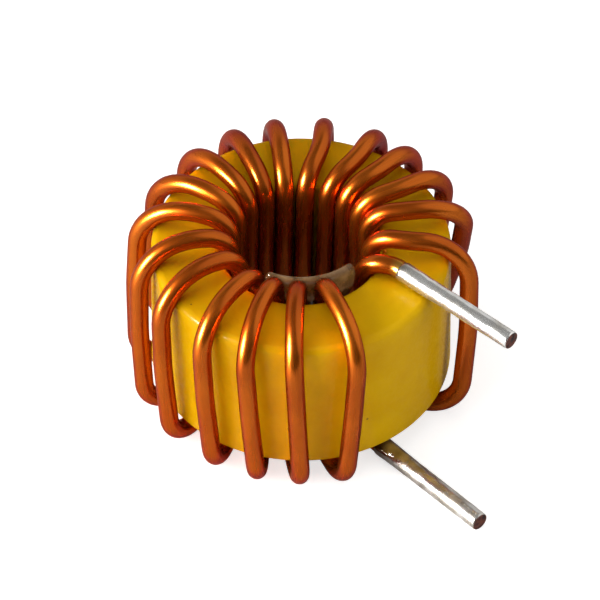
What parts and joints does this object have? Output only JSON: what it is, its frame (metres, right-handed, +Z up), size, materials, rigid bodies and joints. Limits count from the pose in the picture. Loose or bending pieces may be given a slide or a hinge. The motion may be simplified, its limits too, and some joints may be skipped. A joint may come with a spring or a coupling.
{
  "type": "toroidal inductor",
  "caption": "Toroidal inductor lying flat: a yellow powdered-iron ring core wound with one layer of thick enamelled copper wire that ends in two straight tinned leads.",
  "frame": {"origin": "on the ring's axis, at the surface that the part rests on", "axes": "+Z up along the ring's axis, +X from the ring towards the free ends of both leads"},
  "size_m": [0.041, 0.032, 0.0199],
  "materials": {
    "core_epoxy": "satin epoxy coat",
    "wire_enamel": "glossy clear enamel over copper",
    "solder": "bright solder",
    "adhesive": "glossy, slightly see-through"
  },
  "bodies": {
    "root": {"core": "core_epoxy", "winding": "wire_enamel", "top_lead_tinning": "solder", "bottom_lead_tinning": "solder", "glue_bead": "adhesive"}
  },
  "joints": []
}
